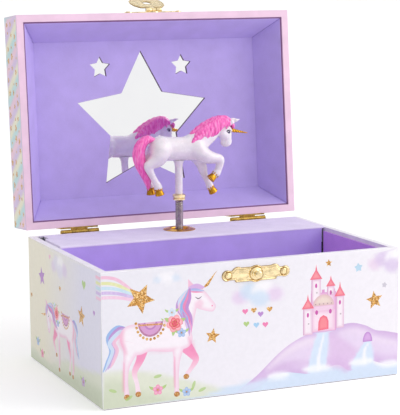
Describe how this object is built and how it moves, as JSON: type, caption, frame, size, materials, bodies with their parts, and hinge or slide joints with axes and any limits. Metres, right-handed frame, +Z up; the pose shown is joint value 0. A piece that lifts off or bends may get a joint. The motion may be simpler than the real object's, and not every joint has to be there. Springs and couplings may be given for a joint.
{
  "type": "musical jewellery box",
  "caption": "Rectangular musical jewellery box with a hinged mirror lid, flocked tray, wind-up movement and a unicorn turning on a spring.",
  "frame": {"origin": "middle of the underside, on the surface that the box stands on", "axes": "+X to the right, +Y to the back where the hinges are, +Z up"},
  "size_m": [0.158, 0.1538, 0.1886],
  "materials": {
    "printed_paper": "white printed paper over board, satin",
    "pink_paper": "pink printed paper over board, satin",
    "plain_paper": "plain white paper, matt",
    "lilac_lining": "lilac flocked lining, soft matt",
    "purple_lining": "purple flocked lining, soft matt",
    "mirror_glass": "polished mirror",
    "bright_brass": "bright pressed brass",
    "steel": "zinc and steel, satin",
    "dark_steel": "hardened spring steel, satin",
    "spring_steel": "nickel-plated spring wire",
    "white_plastic": "glossy white moulded plastic",
    "pink_plastic": "hot pink painted plastic, glossy",
    "gold_paint": "gold paint, semi-gloss"
  },
  "bodies": {
    "base": {"underside_sheet": "plain_paper", "base_bottom_panel": "plain_paper", "base_front_panel": "printed_paper", "base_back_panel": "printed_paper", "base_left_panel": "printed_paper", "base_right_panel": "printed_paper", "tray_floor_lining": "purple_lining", "tray_front_lining": "purple_lining", "tray_left_lining": "purple_lining", "tray_right_lining": "purple_lining", "platform_front_wall": "purple_lining", "platform_cover": "lilac_lining", "platform_brackets": "plain_paper", "grommet_ring": "bright_brass", "left_hinge_base_leaf": "bright_brass", "right_hinge_base_leaf": "bright_brass", "hinge_pins": "bright_brass", "hinge_base_nails": "bright_brass", "latch_plate": "bright_brass", "latch_knob": "bright_brass", "latch_nails": "bright_brass", "movement_frame": "steel", "movement_screws": "steel", "comb": "dark_steel", "comb_screws": "steel"},
    "lid": {"lid_top_panel": "pink_paper", "lid_front_rail": "pink_paper", "lid_back_rail": "pink_paper", "lid_left_rail": "pink_paper", "lid_right_rail": "pink_paper", "lid_front_lining": "lilac_lining", "lid_back_lining": "lilac_lining", "lid_left_lining": "lilac_lining", "lid_right_lining": "lilac_lining", "mirror": "mirror_glass", "star_panel": "lilac_lining", "left_hinge_lid_leaf": "bright_brass", "right_hinge_lid_leaf": "bright_brass", "hinge_lid_nails": "bright_brass", "hasp_plate": "bright_brass", "hasp_pin": "steel", "hasp_nails": "bright_brass"},
    "hasp": {"hasp_flap": "bright_brass"},
    "spring_shaft": {"spring": "spring_steel", "spring_ferrule": "bright_brass"},
    "collar": {"figure_collar": "bright_brass"},
    "figure": {"figure_pole": "white_plastic", "figure_body": "white_plastic", "figure_hair": "pink_plastic", "figure_horn": "gold_paint", "figure_hooves": "gold_paint"},
    "drive": {"music_cylinder": "bright_brass", "drive_arbor": "bright_brass"},
    "barrel": {"spring_barrel": "bright_brass", "mainspring": "dark_steel"},
    "governor_wheel": {"governor_wheel": "bright_brass"},
    "governor_worm": {"governor_worm": "steel"},
    "key": {"winding_arbor": "steel", "winding_key": "bright_brass"},
    "stop_lever": {"stop_lever": "dark_steel"}
  },
  "joints": [
    {"name": "lid_hinge", "type": "hinge", "parent": "base", "child": "lid", "pos_m": [0, 0.0591, 0.06555], "axis": [1, 0, 0], "range_deg": [0, 94.8]},
    {"name": "hasp_hinge", "type": "hinge", "parent": "lid", "child": "hasp", "pos_m": [0, 0.07315, 0.18212], "axis": [1, 0, 0], "range_deg": [0, 158]},
    {"name": "figure_fold", "type": "hinge", "parent": "base", "child": "spring_shaft", "pos_m": [0, 0.0395, 0.074], "axis": [1, 0, 0], "range_deg": [0, 90], "deforming": ["spring"]},
    {"name": "figure_sway", "type": "hinge", "parent": "spring_shaft", "child": "collar", "pos_m": [0, 0.0395, 0.0805], "axis": [0, 1, 0], "range_deg": [-6, 6], "stiffness_Nm_per_rad": 0.06},
    {"name": "figure_spin", "type": "hinge", "parent": "collar", "child": "figure", "pos_m": [0, 0.0395, 0.09], "axis": [0, 0, 1], "continuous": true},
    {"name": "drive_spin", "type": "hinge", "parent": "base", "child": "drive", "pos_m": [0, 0.0395, 0.04], "axis": [0, 0, 1], "continuous": true},
    {"name": "barrel_spin", "type": "hinge", "parent": "base", "child": "barrel", "pos_m": [0, 0.046, 0.018], "axis": [0, 1, 0], "continuous": true},
    {"name": "governor_wheel_spin", "type": "hinge", "parent": "base", "child": "governor_wheel", "pos_m": [-0.0144, 0.0395, 0.05], "axis": [0, 0, 1], "continuous": true},
    {"name": "governor_worm_spin", "type": "hinge", "parent": "base", "child": "governor_worm", "pos_m": [-0.01955, 0.0395, 0.0466], "axis": [0, 1, 0], "continuous": true},
    {"name": "key_turn", "type": "hinge", "parent": "base", "child": "key", "pos_m": [0, 0.06, 0.018], "axis": [0, 1, 0], "continuous": true},
    {"name": "stop_lever_tilt", "type": "hinge", "parent": "base", "child": "stop_lever", "pos_m": [-0.045, 0.046, 0.06], "axis": [0, 1, 0], "range_deg": [-4.6, 0]}
  ],
  "couplings": [
    {"joint": "figure_fold", "follows": "lid_hinge", "ratio": 0.94937},
    {"joint": "stop_lever_tilt", "follows": "lid_hinge", "ratio": -0.047468},
    {"joint": "drive_spin", "follows": "figure_spin", "ratio": 1},
    {"joint": "barrel_spin", "follows": "figure_spin", "ratio": -0.3},
    {"joint": "governor_wheel_spin", "follows": "figure_spin", "ratio": -5},
    {"joint": "governor_worm_spin", "follows": "figure_spin", "ratio": -100}
  ]
}
